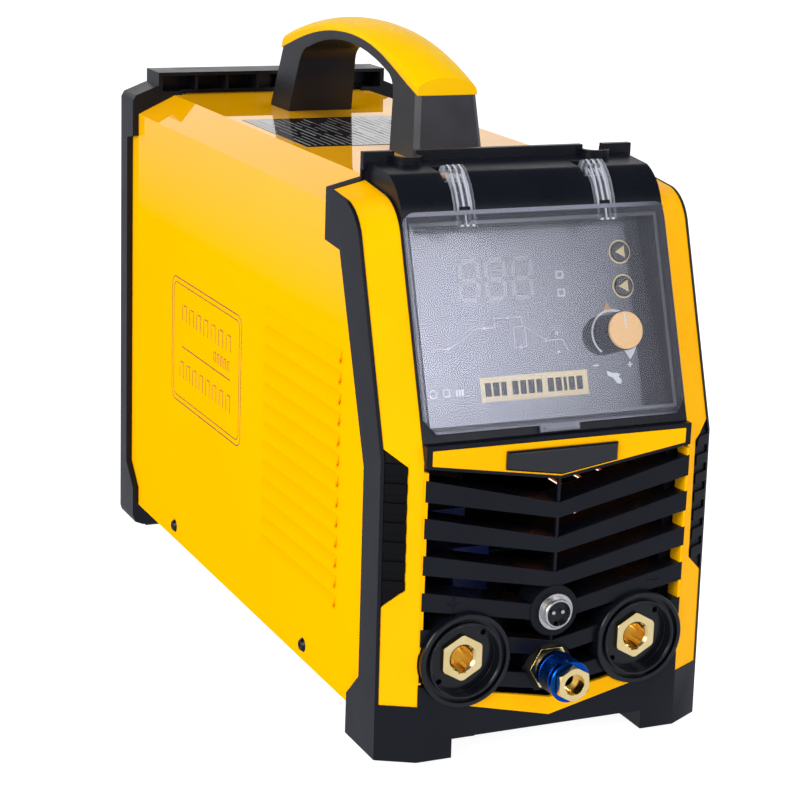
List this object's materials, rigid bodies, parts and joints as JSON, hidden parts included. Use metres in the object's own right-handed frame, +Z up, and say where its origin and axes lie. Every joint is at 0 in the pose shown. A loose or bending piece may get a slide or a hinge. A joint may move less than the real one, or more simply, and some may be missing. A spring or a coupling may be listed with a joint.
{
  "type": "tig welding machine",
  "caption": "Inverter welding machine: folded steel case between moulded bezels, clear flip cover over the panel, louvred front with two sockets, gas coupling and carrying handle.",
  "frame": {"origin": "middle of the overall box, on the floor plane under the rubber feet", "axes": "+Z up, front towards -Y, +X to the right seen from the front"},
  "size_m": [0.195, 0.4964, 0.3593],
  "materials": {
    "black_plastic": "satin moulded",
    "yellow_paint": "gloss powder coat",
    "yellow_plastic": "gloss moulded",
    "black_gloss": "gloss moulded",
    "clear_cover": "clear polycarbonate, lightly smoked",
    "panel_grey": "satin printed film",
    "display_black": "gloss",
    "circuit_board": "solder mask",
    "brass": "turned",
    "steel": "zinc plated",
    "black_screw": "black oxide",
    "aluminium": "machined",
    "blue_anodised": "blue anodised, grooved",
    "silver_ring": "nickel plated",
    "orange_plastic": "gloss moulded",
    "copper": "bare copper",
    "ferrite": "sintered",
    "blue_plastic": "gloss moulded",
    "capacitor_sleeve": "shrink sleeve",
    "label_film": "gloss film",
    "rubber": "moulded"
  },
  "bodies": {
    "machine": {"base_tray": "steel", "top_cover": "yellow_paint", "front_bezel": "black_plastic", "front_grille": "black_plastic", "yellow_trim_right": "yellow_plastic", "yellow_trim_left": "yellow_plastic", "grip_right": "black_plastic", "grip_left": "black_plastic", "chevron_upper": "yellow_plastic", "chevron_lower": "yellow_plastic", "badge_plate": "black_gloss", "socket_cup_left": "black_plastic", "socket_cup_right": "black_plastic", "socket_insert_left": "brass", "socket_insert_right": "brass", "connector_nuts": "steel", "output_busbars": "copper", "torch_connector_shell": "silver_ring", "torch_connector_insert": "black_plastic", "torch_connector_pins": "brass", "gas_coupling_body": "brass", "gas_coupling_nozzle": "brass", "coupling_spring": "steel", "hinge_pins": "steel", "control_panel": "panel_grey", "panel_overlay": "panel_grey", "display_module": "display_black", "control_board": "circuit_board", "encoder_body": "aluminium", "cover_screws": "black_screw", "handle_body": "black_plastic", "handle_cover": "yellow_plastic", "rear_bezel": "black_plastic", "rear_panel": "yellow_paint", "fan_frame": "black_plastic", "fan_guard": "silver_ring", "pan_screws": "steel", "power_switch_housing": "black_plastic", "gas_inlet": "brass", "gas_valve": "brass", "mains_gland": "black_plastic", "heatsinks": "aluminium", "main_board": "circuit_board", "capacitors": "capacitor_sleeve", "transformer": "ferrite", "hf_unit": "blue_plastic", "output_choke": "ferrite", "foot_pads": "rubber", "rating_label": "label_film"},
    "cover": {"flip_cover": "clear_cover"},
    "plunger": {"encoder_plunger": "steel"},
    "knob_group": {"encoder_shaft": "steel", "knob": "black_plastic", "knob_cap": "orange_plastic"},
    "key_upper": {"button_upper": "panel_grey"},
    "key_lower": {"button_lower": "panel_grey"},
    "release_sleeve": {"gas_coupling_sleeve": "blue_anodised"},
    "rocker": {"power_switch_rocker": "black_plastic"},
    "rotor": {"fan_rotor": "black_plastic"},
    "valve_plunger": {"valve_core": "steel"}
  },
  "joints": [
    {"name": "cover_hinge", "type": "hinge", "parent": "machine", "child": "cover", "pos_m": [0, -0.15975, 0.2965], "axis": [-1, 0, 0], "range_deg": [0, 110]},
    {"name": "knob_press", "type": "slide", "parent": "machine", "child": "plunger", "axis": [0, 0.9428, -0.3335], "range_m": [0, 0.0006], "stiffness_N_per_m": 3000},
    {"name": "knob_turn", "type": "hinge", "parent": "plunger", "child": "knob_group", "pos_m": [0.0473, -0.19911, 0.22188], "axis": [0, -0.9428, 0.3335], "continuous": true},
    {"name": "upper_key_press", "type": "slide", "parent": "machine", "child": "key_upper", "axis": [0, 0.9428, -0.3335], "range_m": [0, 0.0006], "stiffness_N_per_m": 1500},
    {"name": "lower_key_press", "type": "slide", "parent": "machine", "child": "key_lower", "axis": [0, 0.9428, -0.3335], "range_m": [0, 0.0006], "stiffness_N_per_m": 1500},
    {"name": "sleeve_pull", "type": "slide", "parent": "machine", "child": "release_sleeve", "axis": [0, 1, 0], "range_m": [0, 0.003], "stiffness_N_per_m": 1500, "deforming": ["coupling_spring"]},
    {"name": "switch_rock", "type": "hinge", "parent": "machine", "child": "rocker", "pos_m": [-0.058, 0.21875, 0.067], "axis": [1, 0, 0], "range_deg": [-9, 9]},
    {"name": "fan_spin", "type": "hinge", "parent": "machine", "child": "rotor", "pos_m": [0, 0.20875, 0.177], "axis": [0, 1, 0], "continuous": true},
    {"name": "valve_lift", "type": "slide", "parent": "machine", "child": "valve_plunger", "axis": [0, 0, 1], "range_m": [0, 0.002], "stiffness_N_per_m": 1000, "springref_m": -0.001}
  ]
}
